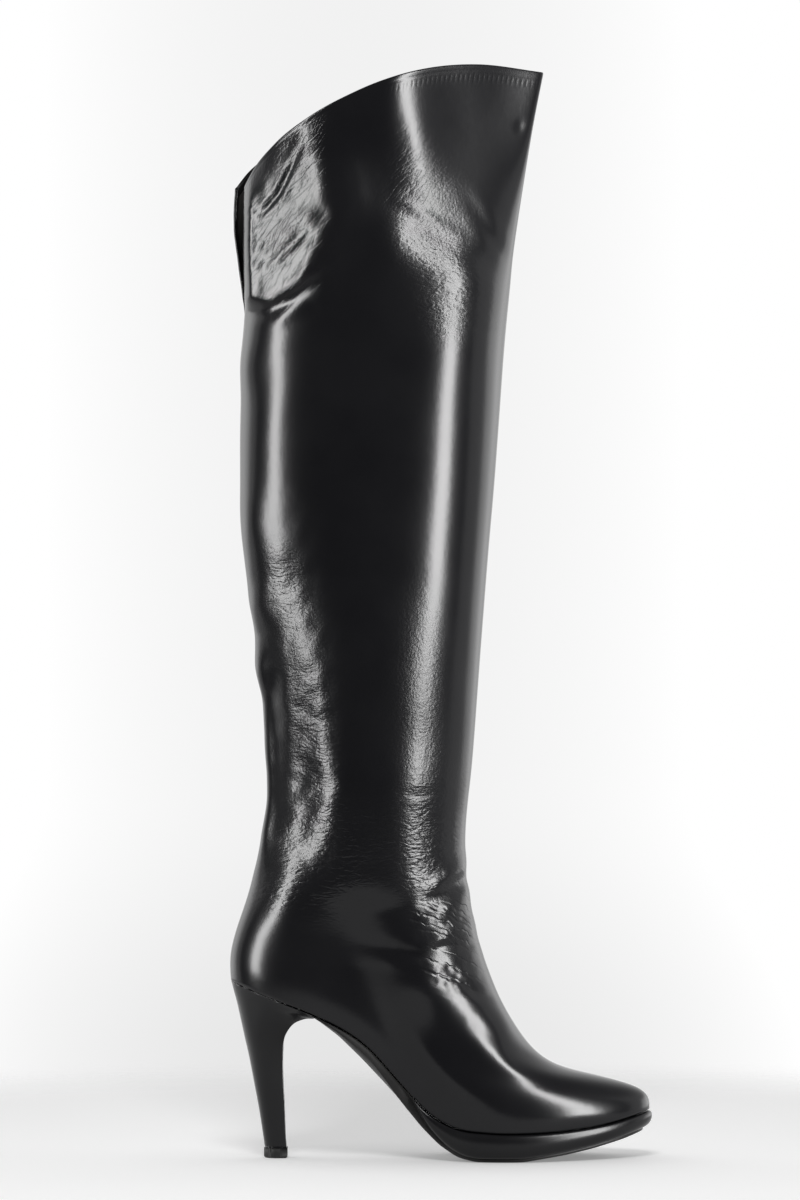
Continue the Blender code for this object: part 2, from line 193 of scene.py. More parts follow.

# %% [markdown]
# ## The floor
# A pale disc, dull as paper, fades out into the surround so that no horizon line cuts the picture. Its
# fade is a Mix Shader between the paper and a transparent shader, by the distance from the middle. Close
# to the boot less of the room reaches the paper. An Ambient Occlusion node measures that and paints the
# shade into the paper's colour and glow.

# %% Paper floor
FADE_FROM, FADE_TO = 0.42, 0.75
SHADE_REACH, PAPER_GLOW = 0.09, 0.36
bpy.ops.mesh.primitive_circle_add(vertices=96, radius=1.6, fill_type="NGON")
floor = bpy.context.object
floor.name = "paper_floor"
paper = bpy.data.materials.new("pale_paper")
paper.use_nodes = True
sheet = Wire(paper.node_tree)
ground = sheet.node("ShaderNodeTexCoord", out="Object")
reach = sheet.node("ShaderNodeVectorMath", {"operation": "LENGTH"}, {0: ground}, out="Value")
open_sky = sheet.node("ShaderNodeAmbientOcclusion", {"samples": 4}, {"Distance": SHADE_REACH}, out="AO")
# Painted shade: the occlusion darkens the paper's colour and its glow close to the boot.
paper_with_painted_shade = open_sky.blend((0.55, 0.55, 0.55, 1), (0.82, 0.82, 0.82, 1))
glow_with_painted_shade = open_sky.blend((0.65, 0.65, 0.65, 1), (1, 1, 1, 1))
dull = sheet.node(
    "ShaderNodeBsdfPrincipled", {},
    {"Base Color": paper_with_painted_shade, "Roughness": 1.0, "Emission Color": glow_with_painted_shade, "Emission Strength": PAPER_GLOW},
)
clear = sheet.node("ShaderNodeBsdfTransparent")
fading = sheet.node("ShaderNodeMixShader", {}, {0: reach.ramp(FADE_FROM, FADE_TO), 1: dull, 2: clear})
paper.node_tree.links.new(fading.socket, paper.node_tree.nodes["Material Output"].inputs["Surface"])
floor.data.materials.append(paper)
print("floor: %s, %d nodes" % (floor.name, len(paper.node_tree.nodes)))

# %% [markdown]
# ## Light on the floor
# A studio flags the softboxes off the floor with black cards; light linking does the same here. One more
# lamp, high up on the viewer's side, lights the paper alone, and the boot's soft shade falls behind it.

# %% Lamp for the floor
flagged = bpy.data.collections.new("flagged_off")
flagged.objects.link(floor)
flagged.collection_objects[0].light_linking.link_state = "EXCLUDE"
for box in softboxes:
    box.light_linking.receiver_collection = flagged
overhead = bpy.data.objects.new("overhead", bpy.data.lights.new("overhead", "AREA"))
bpy.context.scene.collection.objects.link(overhead)
overhead.location = (-0.1, -1.5, 1.7)
overhead.rotation_mode = "QUATERNION"
overhead.rotation_quaternion = (-overhead.location).to_track_quat("-Z", "Y")
overhead.data.size = 0.6
overhead.data.energy = 22.0
overhead.visible_camera = False
only_floor = bpy.data.collections.new("only_floor")
only_floor.objects.link(floor)
overhead.light_linking.receiver_collection = only_floor
print("flagged off the floor:", [box.name for box in softboxes])

# %% [markdown]
# ## Measuring in the boot's own sizes
# A last maker measures from the back of the heel and from the floor, in millimetres. The tables below do
# the same, and one function turns them into Blender's metres. Curves pass smoothly through a table's
# rows, and a soft blur along the boot takes out the last kinks, which a polished surface would show.

# %% Tables and curves
MM = 0.001
HEEL_BACK = -119.0
LENGTH = 238.0
OUTER, INNER = -1, 1


def table(columns, rows):
    """A table's columns by name."""
    return dict(zip(columns.split(), np.array(rows, float).T))


def to_metres(points):
    """Millimetres from the heel's back as Blender's metres."""
    return (np.asarray(points) + (HEEL_BACK, 0, 0)) * MM


def smooth(at, knots, values):
    """A cubic through the values. Values may have one column for every row of at."""
    knots, values = np.asarray(knots, float), np.asarray(values, float)
    slopes = np.gradient(values, knots, axis=0)
    at = np.clip(at, knots[0], knots[-1])
    i = np.clip(np.searchsorted(knots, at, side="right") - 1, 0, len(knots) - 2)
    span = knots[i + 1] - knots[i]
    t = (at - knots[i]) / span
    row = () if values.ndim == 1 else (np.arange(values.shape[1])[:, None],)
    return (
        (1 + 2 * t) * (1 - t) ** 2 * values[(i, *row)]
        + t * (1 - t) ** 2 * span * slopes[(i, *row)]
        + t * t * (3 - 2 * t) * values[(i + 1, *row)]
        + t * t * (t - 1) * span * slopes[(i + 1, *row)]
    )


def soften(values, spread, axis=0):
    """A Gaussian blur along one axis, with both ends carried on straight."""
    values = np.moveaxis(np.asarray(values, float), axis, 0)
    wide = int(3 * spread) + 1
    weights = np.exp(-0.5 * (np.arange(-wide, wide + 1) / spread) ** 2)
    before = 2 * values[:1] - values[wide:0:-1]
    after = 2 * values[-1:] - values[-2 : -wide - 2 : -1]
    carried = np.concatenate([before, values, after])
    blurred = sum(w * carried[k : k + len(values)] for k, w in enumerate(weights / weights.sum()))
    return np.moveaxis(blurred, 0, axis)


def ease(value, low, high):
    """0 at low and 1 at high, eased between them."""
    t = np.clip((value - low) / (high - low), 0, 1)
    return t * t * (3 - 2 * t)


# %% [markdown]
# ## The upper's form
# A boot's upper is a tube of leather drawn over a last. Its form is a loft: rings round the foot follow
# the arch of the sole, rings round the leg are ellipses, flattened at the back by the seam and at the
# front of the cuff by a fold. The tables are the solid's with a few rows eased by some millimetres.

# %% Measures of the upper
SOLE_LINE = table(
    "x z",
    [
        (0, 100), (24, 91), (53, 79.5), (78, 64), (98, 42), (112, 27.5),
        (126, 19.5), (145, 16.6), (165, 16.3), (193, 18), (215, 21.3), (238, 27.3),
    ],
)
COLLAR_LINE = table(
    "x z",
    [(8.4, 541), (15, 552), (27, 565), (45, 578), (70, 591), (100, 602.5), (140, 609), (176.4, 606.5)],
)
FOOT = table(
    "back_x back_z front_x front_z follow heel_r seat waist ball toe toe_r",
    [
        (1.6, 99.4, 236.2, 26.9, 1.0, 17.5, 29.2, 26.6, 41.4, 26.8, 13),
        (0.2, 105.0, 238.5, 30.8, 1.0, 17.5, 30.0, 27.8, 42.3, 28.0, 14),
        (0.7, 112.0, 238.2, 36.6, 1.0, 17.5, 30.2, 28.2, 42.3, 28.0, 12),
        (2.8, 121.0, 219.8, 42.0, 1.0, 18.0, 29.6, 28.6, 40.6, 28.3, 14),
        (5.0, 129.0, 203.0, 47.0, 1.0, 18.0, 28.8, 29.2, 38.4, 27.5, 17),
        (8.5, 138.5, 180.0, 51.6, 0.9, 17.0, 27.6, 29.8, 34.8, 30.5, 21),
        (12.0, 150.0, 160.8, 72.3, 0.6, 14.5, 25.5, 31.0, 32.8, 25.5, 20),
        (15.5, 164.0, 147.5, 100.0, 0.3, 12.5, 21.8, 32.2, 32.9, 23.5, 19.5),
    ],
)
SHAFT = table(
    "back_x back_z front_x front_z half_depth collar_follow pinch fold",
    [
        (18.6, 180, 138.4, 128, 34.8, 0.0, 10.0, 2.6),
        (21.2, 203, 132.6, 172, 36.6, 0.0, 14.5, 3.0),
        (19.8, 240, 137.0, 226, 39.0, 0.0, 15.5, 3.4),
        (15.6, 288, 141.6, 284, 42.5, 0.0, 12.0, 1.8),
        (8.0, 345, 146.2, 344, 46.5, 0.0, 6.0, 1.6),
        (7.0, 412, 151.8, 412, 49.5, 0.0, 1.0, 0.4),
        (9.4, 472, 156.4, 472, 52.5, 0.0, 0.0, 0.0),
        (8.6, 504, 163.4, 532, 54.0, 0.5, 0.0, 17.0),
        (8.5, 520, 168.2, 562, 54.6, 0.75, 0.0, 26.0),
        (8.4, 541, 176.4, 606.5, 55.0, 1.0, 0.0, 29.0),
    ],
)
print("rows of the foot: %d, of the shaft: %d" % (len(FOOT["seat"]), len(SHAFT["pinch"])))

# %% Rings of the upper
WIDTH_SHARES = np.array((0.0, 0.13, 0.42, 0.66, 0.88, 1.0))
PINCH_SHARES = (1.25, 1.0, 0.2, 0.0, 0.0, 0.0)
FOLD_SHARES = (0.0, 0.0, 0.0, 0.50, 1.18, 1.55)


def ring_columns():
    """Every ring from the sole to the collar: its ends, what it follows, and its fullness across."""
    unit = 2 * np.sqrt(WIDTH_SHARES * (1 - WIDTH_SHARES))
    reach = (FOOT["front_x"] - FOOT["back_x"]) / 2
    fullness = [np.sqrt(FOOT["heel_r"] * reach)]
    fullness += [FOOT[name] / unit[k + 1] for k, name in enumerate(("seat", "waist", "ball", "toe"))]
    fullness += [np.sqrt(FOOT["toe_r"] * reach)]
    ends = ("back_x", "back_z", "front_x", "front_z")
    rings = {name: np.append(FOOT[name], SHAFT[name]) for name in ends}
    rings["follow"] = np.append(FOOT["follow"], 0 * SHAFT["pinch"])
    rings["collar_follow"] = np.append(0 * FOOT["follow"], SHAFT["collar_follow"])
    for k, (pinched, folded) in enumerate(zip(PINCH_SHARES, FOLD_SHARES)):
        flat = pinched * SHAFT["pinch"] + folded * SHAFT["fold"]
        rings[f"fullness_{k}"] = np.append(fullness[k], SHAFT["half_depth"] - flat)
    return rings


rings = ring_columns()
steps = [np.hypot(np.diff(rings[end + "_x"]), np.diff(rings[end + "_z"])) for end in ("back", "front")]
travel = np.append(0, np.cumsum(steps[0] + steps[1]))
print("rings: %d, path along the boot: %.0f mm" % (len(travel), travel[-1] / 2))

# %% [markdown]
# ## The bare loft
# The leather's grid runs from the heel along the outer side to the front and back along the inner side.
# It needs about 80,000 faces so that folds a few millimetres wide have a true shape. The rows crowd
# together under the collar, where the edge is rolled.

# %% Grid of the upper
ROWS, OUTER_COLUMNS, INNER_COLUMNS = 318, 150, 96
SLIT_FOOT = len(FOOT["back_x"]) + 6
SLIT_GAP, FLAP_LAG = 15.0, 6.0
ARCH_HOLLOW, TOE_SWING = 2.5, 6.0
WAIST_SHARE, WAIST_SPREAD = 0.42, 0.13
SWING_FROM = 90
LIP_START, LIP_ROWS = 6, np.array((4.6, 3.4, 2.4, 1.5, 0.7, 0.0))
levels = np.append(np.linspace(0, travel[-1] - LIP_START, ROWS), travel[-1] - LIP_ROWS)
ring = {name: soften(smooth(levels, travel, column), 5)[:, None] for name, column in rings.items()}
number = np.interp(levels, travel, range(len(travel)))[:, None]
slit = np.clip((number - SLIT_FOOT) / (len(travel) - 1 - SLIT_FOOT), 0, 1)


def toe_swing(x):
    """How far the toe leans to the inner side."""
    return TOE_SWING * (np.maximum(x - SWING_FROM, 0) / (LENGTH - SWING_FROM)) ** 1.5


def arch_hollow(share):
    """How much narrower the inner side is at the waist."""
    return ARCH_HOLLOW * np.exp(-(((share - WAIST_SHARE) / WAIST_SPREAD) ** 2))


def bow(line, x, share):
    """How far a line departs from its own chord between the two ends of each ring."""
    back, front = (smooth(ring[end], *line.values()) for end in ("back_x", "front_x"))
    return smooth(x, *line.values()) - (back + (front - back) * share)


def loft_side(side, columns):
    """One side of the upper, from each ring's back to its front, and how far round each point is."""
    start = np.arcsin(slit * SLIT_GAP / 2 / ring["fullness_0"])
    angle = start + (math.pi - start) * np.linspace(0, 1, columns + 1)
    share = (1 - np.cos(angle)) / 2
    fullness = np.stack([ring[f"fullness_{k}"][:, 0] for k in range(len(WIDTH_SHARES))])
    half = soften(smooth(share, WIDTH_SHARES, fullness), columns / 40, axis=1) * np.sin(angle)
    if side == INNER:
        half -= ring["follow"] * arch_hollow(share)
    x = ring["back_x"] + (ring["front_x"] - ring["back_x"]) * share
    z = ring["back_z"] + (ring["front_z"] - ring["back_z"]) * share
    z += ring["follow"] * bow(SOLE_LINE, x, share) + ring["collar_follow"] * bow(COLLAR_LINE, x, share)
    if side == INNER:
        x = x - FLAP_LAG * np.sin(math.pi * slit * 0.6) * np.exp(-((share / 0.10) ** 2))
    y = side * half + toe_swing(x) * ring["follow"]
    return np.stack([x, y, z], axis=2), side * np.sin(angle)


outer_side, outer_round = loft_side(OUTER, OUTER_COLUMNS)
inner_side, inner_round = loft_side(INNER, INNER_COLUMNS)
bare = np.concatenate([outer_side, inner_side[:, -2::-1]], axis=1)
roundness = np.concatenate([outer_round, inner_round[:, -2::-1]], axis=1)
closed = slit[:, 0] == 0
print("grid: %d rows of %d points, %d below the slit" % (*bare.shape[:2], closed.sum()))


# %% Directions on the grid
def outward(points):
    """Unit normals of the upper's grid, joined across the back seam below the slit."""
    left, right = points[:, -2:-1].copy(), points[:, 1:2].copy()
    left[~closed] = 2 * points[~closed, :1] - points[~closed, 1:2]
    right[~closed] = 2 * points[~closed, -1:] - points[~closed, -2:-1]
    wide = np.concatenate([left, points, right], axis=1)
    normal = np.cross(wide[:, 2:] - wide[:, :-2], np.gradient(points, axis=0))
    return normal / np.linalg.norm(normal, axis=2, keepdims=True)


bare_normals = outward(bare)
print("facing the viewer: %.0f %%" % (100 * (bare_normals[..., 1] < 0).mean()))

# %% [markdown]
# ## Folds in the leather
# Worn leather breaks where the foot bends and sags where nothing holds it. Each main fold is placed, in
# the boot's own sizes, as a line of points with a width and a depth. It sinks as a soft trough with a low
# shoulder on both sides; a negative depth makes a ridge. Swells are broad soft hills or hollows; those
# along the back edge belong to both sides. A simulation would fold the leather too, but not where this
# boot has its folds.

# %% Lines and swells
def near_line(points, x, z):
    """Distance from a line of points in the side view, and the share of its length at the nearest."""
    points = np.array(points, float)
    lengths = np.hypot(*np.diff(points, axis=0).T)
    starts = np.append(0, np.cumsum(lengths)) / lengths.sum()
    distance, share = np.full(x.shape, 1e9), np.zeros(x.shape)
    for k, length in enumerate(lengths):
        along = (points[k + 1] - points[k]) / length
        t = np.clip((x - points[k][0]) * along[0] + (z - points[k][1]) * along[1], 0, length)
        gap = np.hypot(x - points[k][0] - t * along[0], z - points[k][1] - t * along[1])
        nearer = gap < distance
        distance = np.where(nearer, gap, distance)
        share = np.where(nearer, starts[k] + t / lengths.sum(), share)
    return distance, share


def fold(x, z, width, depth, points, ends=0.6):
    """A soft trough along a line, with low shoulders, fading out at its ends."""
    distance, share = near_line(points, x, z)
    trough = np.exp(-((distance / width) ** 2)) - 0.35 * np.exp(-(((distance - 2 * width) / width) ** 2))
    return -depth * trough * np.sin(math.pi * np.clip(share, 0.02, 0.98)) ** ends


def swell(x, z, middle_x, middle_z, long, short, turn, rise):
    """A soft hill, or a hollow if rise is negative, longer along its turned axis."""
    c, s = math.cos(math.radians(turn)), math.sin(math.radians(turn))
    u = (x - middle_x) * c + (z - middle_z) * s
    v = (z - middle_z) * c - (x - middle_x) * s
    return rise * np.exp(-((u / long) ** 2) - (v / short) ** 2)


def unevenness(x, z, length, seed):
    """A gentle random field with waves of about the given length, the same on every run."""
    chance = np.random.default_rng(seed)
    field = np.zeros(x.shape)
    for _ in range(18):
        turn = chance.uniform(0, math.pi)
        phase = chance.uniform(0, 2 * math.pi)
        size = chance.uniform(0.7, 1.4)
        wave = 2 * math.pi / (length * size)
        field += np.sin(wave * (x * math.cos(turn) + z * math.sin(turn)) + phase)
    return field / 3


# %% Folds of the outer side
# A fold's row: width, depth, points
OUTER_FOLDS = [
    (1.7, 0.7, [(8, 525), (20, 527.5), (28.7, 536.5), (37, 553), (43, 565)]),
    (2.6, 0.7, [(24.3, 499.2), (36, 509), (46.4, 517.9)]),
    (1.8, 0.35, [(12, 494), (24, 505), (37, 517)]),
    (3.5, 1.0, [(8, 471), (25, 472), (37, 479.5), (49, 487), (55, 491)]),
    (2.2, -0.45, [(94, 533), (99, 531), (120, 519), (131, 514)]),
    (13.0, -1.6, [(96, 620), (101, 590), (104, 565), (107, 535)]),
    (3.0, 0.25, [(130.6, 539.7), (143.9, 520.9), (157.8, 500.9)]),
    (1.4, 0.16, [(117, 489.5), (127, 486.5), (137, 485.4)]),
    (1.4, 0.14, [(107, 479.3), (121, 480.3), (134, 479.9)]),
    (1.6, 0.12, [(108, 464), (125, 464.2), (158, 459.4)]),
    (2.2, 0.14, [(94, 205.5), (106, 204.5), (118, 206)]),
    (3.6, 1.4, [(140, 158), (131.2, 155.2), (119.6, 147.5), (110, 143)]),
    (5.0, -0.6, [(139, 165.5), (130, 162.5), (119, 157)]),
    (6.0, 1.6, [(24, 165), (25, 195), (25, 235), (23, 268), (20, 292)]),
    (3.4, 1.2, [(142, 122), (127, 120.3), (108, 114.2), (95, 115.3)]),
    (4.0, 0.7, [(141, 139), (130, 136), (117, 132)]),
    (2.6, 0.6, [(150.6, 90), (139.5, 93.2), (117.4, 110.9)]),
    (4.0, 0.4, [(71.9, 122.5), (88, 119), (105.2, 118.1), (114.6, 127.5)]),
    (4.0, 0.2, [(78, 141), (92, 140), (106, 140.3)]),
    (5.0, 0.5, [(152, 64), (143, 72), (133, 78)]),
]
# A swell's row: middle x, middle z, long, short, turn, rise
OUTER_SWELLS = [
    (53, 524, 6, 6, 0, -1.2), (163.3, 576.8, 2.6, 2.4, 0, -0.4), (142, 506, 20, 16, -20, -1.6),
    (88, 514, 15, 14, 0, 2.5), (120, 510, 14, 12, 0, -1.0), (136, 493, 16, 12, 0, 1.2),
    (14, 455, 14, 16, 0, 1.0), (112, 93, 14, 16, 0, 1.7), (152, 71, 15, 9, -50, 1.9),
    (106, 102, 10, 13, 0, 1.8), (124, 134, 14, 18, 0, 1.8), (35, 255, 10, 12, 0, 0.8),
    (87, 592, 11, 26, 0, 1.8),
]
BACK_SWELLS = [
    (8, 441, 9, 14, 0, 1.6), (12, 356, 8, 16, 0, 0.9), (15, 309, 9, 9, 0, 0.8),
    (17, 272, 9, 12, 0, 2.8), (20, 226, 12, 18, 0, 0.8), (19, 182, 12, 9, 0, 0.7),
]


def relief(x, z, folds, swells):
    """The height of all these folds and swells."""
    height = sum(fold(x, z, *row) for row in folds)
    return height + sum(swell(x, z, *row) for row in swells)


print("folds: %d, swells: %d" % (len(OUTER_FOLDS), len(OUTER_SWELLS + BACK_SWELLS)))

# %% [markdown]
# ## The slack flap
# Beside the slit nothing holds the cuff, and its edge stands off to the side as a nearly flat flap. It
# hangs over a lip at its lower end, and above a slanting crease it is drawn in again. A table says how
# far it stands off, from the slit forwards. That keeps the flap's edge as straight as cut leather, where
# a swell would round it.

# %% Flap
FLAP = table(
    "x lift",
    [
        (8.4, 15.2), (12, 9.9), (16, 5.5), (22, 2.5), (28, 1.3), (34, 1.2), (40, 2.0), (46, 3.6),
        (52, 5.1), (57, 5.6), (62, 5.0), (70, 3.0), (78, 1.1), (86, 0.2), (94, 0.0),
    ],
)
FLAP_SLIDE = table("z slide", [(470, 6), (490, 2), (505, 0), (530, -3), (548, 0), (570, 10)])
LIP_LINE = table("x z", [(8, 476), (25, 477), (37, 483), (49, 489.5), (62, 496), (95, 505)])
CREASE_X, CREASE_Z = 8, 527
CREASE_RUN, CREASE_CLIMB, CREASE_LENGTH = 35, 38, 51.7
DRAWN_IN = 5.0


def flap_lift(x, z):
    """How far the slack flap beside the slit stands off to the side, over its own lower lip."""
    lip_z = smooth(x, *LIP_LINE.values())
    spread = 26 * ease(x, 38, 60)
    over_crease = ((z - CREASE_Z) * CREASE_RUN - (x - CREASE_X) * CREASE_CLIMB) / CREASE_LENGTH
    slide = smooth(z, *FLAP_SLIDE.values()) * ease(x, 26, 44)
    stand_off = smooth(x + slide, *FLAP.values())
    stand_off = stand_off * ease(z, lip_z - 5 - spread, lip_z + 6 + spread)
    drawn_in = DRAWN_IN * ease(over_crease, 0, 26) * ease(x, 85, 45)
    stand_off = stand_off * (1 - ease(over_crease, -4, 24)) - drawn_in
    return stand_off * (1 - ease(z, 550, 584))


print("flap: up to %.0f mm off" % FLAP["lift"].max())

# %% [markdown]
# ## The ridge above the heel
# Above the heel the seam draws the back in, and the leather beside it stands up as a long soft ridge. It
# carries the streak that runs from the ankle up to the calf. Its crest wanders, so a table gives the
# place and the rise of the crest at each height.

# %% Ridge
BACK_RIDGE = table(
    "z x rise",
    [
        (108, 36, 0.0), (128, 38, 0.8), (139, 43, 2.4), (152, 52, 4.8), (168, 58, 5.2), (190, 65, 5.5),
        (212, 69, 5.5), (234, 63, 5.0), (256, 61, 5.0), (279, 55, 4.3), (301, 51, 2.6), (325, 46, 0.0),
    ],
)


def back_ridge(x, z):
    """The ridge's height: steeper towards the back seam, gentler forwards."""
    beyond = x - smooth(z, BACK_RIDGE["z"], BACK_RIDGE["x"])
    return smooth(z, BACK_RIDGE["z"], BACK_RIDGE["rise"]) * ease(beyond, -40, -2) * ease(beyond, 80, 4)


print("ridge: %.0f to %.0f mm above the floor" % (BACK_RIDGE["z"][0], BACK_RIDGE["z"][-1]))

# %% [markdown]
# ## Laying the folds on
# The height of the folds pushes each point along its normal. The inner side, which the viewer doesn't
# see, has shallower folds of the same kind in slightly other places. At the front and back edges the two
# sides share the average. Close to the sole the leather is lasted tight, so the folds fade there. The
# flap is on the outer side only.

# %% The folded grid
INNER_DEPTH, INNER_BACK, INNER_UP = 0.8, 3, 5
grid_x, grid_z = bare[..., 0], bare[..., 2]
outer_height = relief(grid_x, grid_z, OUTER_FOLDS, OUTER_SWELLS + BACK_SWELLS)
outer_height = outer_height + back_ridge(grid_x, grid_z)
inner_height = relief(grid_x + INNER_BACK, grid_z - INNER_UP, OUTER_FOLDS, BACK_SWELLS)
inner_height = INNER_DEPTH * inner_height
inner_part = 0.5 + 0.5 * np.sign(roundness) * ease(np.abs(roundness), 0, 0.35)
above_sole = np.linalg.norm(bare - bare[:1], axis=2)
loose = ease(above_sole, 2, 14)
slack = swell(grid_x, grid_z, 44, 235, 30, 100, 0, 1.0) + swell(grid_x, grid_z, 30, 520, 34, 40, 0, 0.9)
sag = 0.10 * unevenness(grid_x, grid_z, 80, 9) + 0.08 * slack * unevenness(grid_x, grid_z, 14, 5)
height = (1 - inner_part) * outer_height + inner_part * inner_height
leather = bare + bare_normals * (height * loose + sag * ease(grid_z, 120, 200))[..., None]
leather[..., 1] -= (1 - inner_part) * flap_lift(grid_x, grid_z)
leather[closed, -1] = leather[closed, 0]
leather_normals = outward(leather)
print("folds from %.1f to %.1f mm" % (height.min(), height.max()))

# %% [markdown]
# ## From grids to pieces
# A grid becomes a mesh by joining neighbours into quads. The helper below also drops points that no face
# uses, shades the faces smoothly, gives the mesh its finish, and lets the piece ride with the boot's only
# body.

# %% Making a piece
def grid_quads(ids):
    """Quads between the neighbours of a grid of point numbers."""
    corners = (ids[:-1, :-1], ids[:-1, 1:], ids[1:, 1:], ids[1:, :-1])
    return np.stack([corner.ravel() for corner in corners], axis=1)


def make_piece(name, points, quads, material, slot, *nodes):
    """A smooth mesh piece from points in millimetres, standing in for the named solids."""
    quads = quads[(quads[:, 0] != quads[:, 1]) & (quads[:, 2] != quads[:, 3])]
    used, quads = np.unique(quads, return_inverse=True)
    mesh = bpy.data.meshes.new(name)
    mesh.from_pydata(to_metres(points[used]), [], quads.reshape(-1, 4))
    mesh.shade_smooth()
    mesh.materials.append(material)
    piece = bpy.data.objects.new(name, mesh)
    bpy.context.scene.collection.objects.link(piece)
    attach(piece, "root")
    if nodes:
        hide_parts(*nodes)
    print("%s: %d points, %d faces" % (name, len(mesh.vertices), len(mesh.polygons)))
    return piece, used


def note(piece, name, values):
    """Keeps one number for every point of a piece, for its finish to read."""
    kept = piece.data.attributes.new(name, "FLOAT", "POINT")
    kept.data.foreach_set("value", np.asarray(values, np.float32).ravel())


# %% [markdown]
# ## Polished leather
# The finish is thin black calf, glazed to a soft gloss. The bumps have to shape that gloss itself, so
# there is no separate clear coat over them. The grain is a fine pebble that only shows where a streak
# crosses it. Where the leather works, at the ankle, down the back and on the flap, short wrinkles run
# across the pull. They are bumps in millimetres, weighted by numbers that a later step notes on the mesh.
# Grain and crumpled leather also dull the gloss a little.

# %% Leather helpers
def start_finish(name):
    """A new finish, and a wire with the place on the boot in metres to build it from."""
    material = bpy.data.materials.new(name)
    material.use_nodes = True
    return material, Wire(material.node_tree).node("ShaderNodeTexCoord", out="Object")


def noted(place, name):
    """The number of this name that a mesh keeps for each of its points."""
    return place.node("ShaderNodeAttribute", {"attribute_name": name}, out="Fac")


def noise(place, scale, detail=2.0, distortion=0.0):
    """Soft noise from -0.5 to 0.5."""
    sockets = {"Vector": place, "Scale": scale, "Detail": detail, "Distortion": distortion}
    return place.node("ShaderNodeTexNoise", {}, sockets) - 0.5


def stretched(place, long, short, turn):
    """Places counted in strokes: long millimetres along a line turned up from +X, short across it."""
    sizes = (long * MM, long * MM, short * MM)
    sockets = {"Vector": place, "Rotation": (0, -math.radians(turn), 0), "Scale": sizes}
    return place.node("ShaderNodeMapping", {"vector_type": "TEXTURE"}, sockets)


def wrinkles(place, long, short, turn, sharpness=0.16):
    """Fine valleys between flat ridges, from 0 on a ridge to -1 in a valley."""
    wander = noise(stretched(place, long, short, turn), 1.0, 1.0, 0.5)
    return abs(wander).ramp(0.0, sharpness) - 1


def set_finish(material, height, **values):
    """Links or sets the shader's sockets and its bump, whose height is in millimetres."""
    tree = material.node_tree
    shader = tree.nodes["Principled BSDF"]
    for name, value in values.items():
        socket = shader.inputs[name.replace("_", " ")]
        if isinstance(value, Wire):
            tree.links.new(value.socket, socket)
        else:
            socket.default_value = value
    bump = height.node("ShaderNodeBump", {}, {"Strength": 1.0, "Distance": MM, "Height": height})
    tree.links.new(bump.socket, shader.inputs["Normal"])
    print("%s: %d nodes" % (material.name, len(tree.nodes)))


# %% The upper's finish
STITCH, GLAZE = 3.2, 1.33
polished, place = start_finish("polished_leather")
grain, cross, slant, crumple = (noted(place, name) for name in ("grain", "cross", "slant", "crumple"))
below, along = noted(place, "below_collar"), noted(place, "along_collar")
patches = noise(place, 22.0, 3.0)
pebble = noise(place, 800.0, 2.0) * 0.09 + noise(place, 300.0, 2.0) * 0.08
fine = noise(place, 900.0, 2.0) * 0.012 + noise(place, 240.0, 1.0) * 0.02
across_pull = noise(stretched(place, 5.5, 2.2, 4), 1.0, 2.0, 0.4) * 0.30
across_pull = across_pull + wrinkles(place, 8.0, 2.8, -4) * 0.08
on_flap = wrinkles(place, 24.0, 4.6, 40, 0.05) * 0.05 + wrinkles(place, 13.0, 3.2, 55, 0.05) * 0.04
on_flap = on_flap + noise(stretched(place, 2.4, 1.5, 45), 1.0) * 0.035
cells = {"Vector": stretched(place, 7.0, 4.0, 20) + noise(place, 160.0, 1.0) * 0.5, "Scale": 1.0}
plates = place.node("ShaderNodeTexVoronoi", {"feature": "DISTANCE_TO_EDGE"}, cells)
creased = plates.ramp(0.0, 0.16) * 0.20 + noise(place, 110.0, 1.0) * 0.9
in_stitch = along.maths("FRACT", along / STITCH)
pucker = abs(in_stitch - 0.5).ramp(0.36, 0.0) * below.ramp(3.6, 5.6) * below.ramp(11.0, 6.0)
bead = below.ramp(1.4, 2.4) * below.ramp(4.0, 3.0)
bumps = fine + pebble * grain * (1 + patches)
bumps = bumps + across_pull * cross + on_flap * slant + creased * crumple
set_finish(
    polished, bumps - pucker * 0.022 - bead * 0.05,
    Base_Color=patches.ramp(-0.3, 0.3).blend((0.0038, 0.0038, 0.0044, 1), (0.0052, 0.0052, 0.0058, 1)),
    Roughness=0.19 + patches * 0.06 + grain * 0.04 + crumple * 0.03,
    IOR=GLAZE,
)

# %% [markdown]
# ## The upper with its rolled edge
# Along the collar and the slit the leather is turned over a cord and fastened inside, which gives a round
# lip about 2 mm thick. The lip is a strip of half a turn that starts on the grid's own edge, followed by
# a facing on the inside. Underneath, the leather is turned in where it was lasted over the insole.

# %% Turned-in edge
TURNED_IN = (6.0, 3.0, 1.2, 0.4)


def turned_under(row, inset):
    """The lowest row moved inwards under the foot, on the sole line."""
    along = np.gradient(row[:, :2], axis=0)
    away = np.stack([along[:, 1], -along[:, 0]], axis=1)
    away /= np.linalg.norm(away, axis=1, keepdims=True)
    under = row.copy()
    under[:, :2] -= inset * away
    under[:, 2] = smooth(under[:, 0], *SOLE_LINE.values())
    return under


tucks = np.stack([turned_under(leather[0], inset) for inset in TURNED_IN])
skin = np.concatenate([tucks, leather])
count, width = skin.shape[:2]
ids = np.arange(count * width).reshape(count, width)
row_closed = np.append(np.ones(len(tucks), bool), closed)
ids[row_closed, -1] = ids[row_closed, 0]
slit_row = int(row_closed.sum()) - 1
print("turned in by %.0f mm; the slit starts at row %d of %d" % (max(TURNED_IN), slit_row, count))

# %% Rolled lip and upper
LIP = 0.95
LIP_TURNS = (25, 50, 75, 100, 125, 150, 180)
FACING = (2.0, 5.0)


def edge_loop(values):
    """Values along the free edge: up the outer side of the slit, round the collar, and down again."""
    return np.concatenate([values[slit_row:, 0], values[-1, 1:], values[-2:slit_row:-1, -1]])


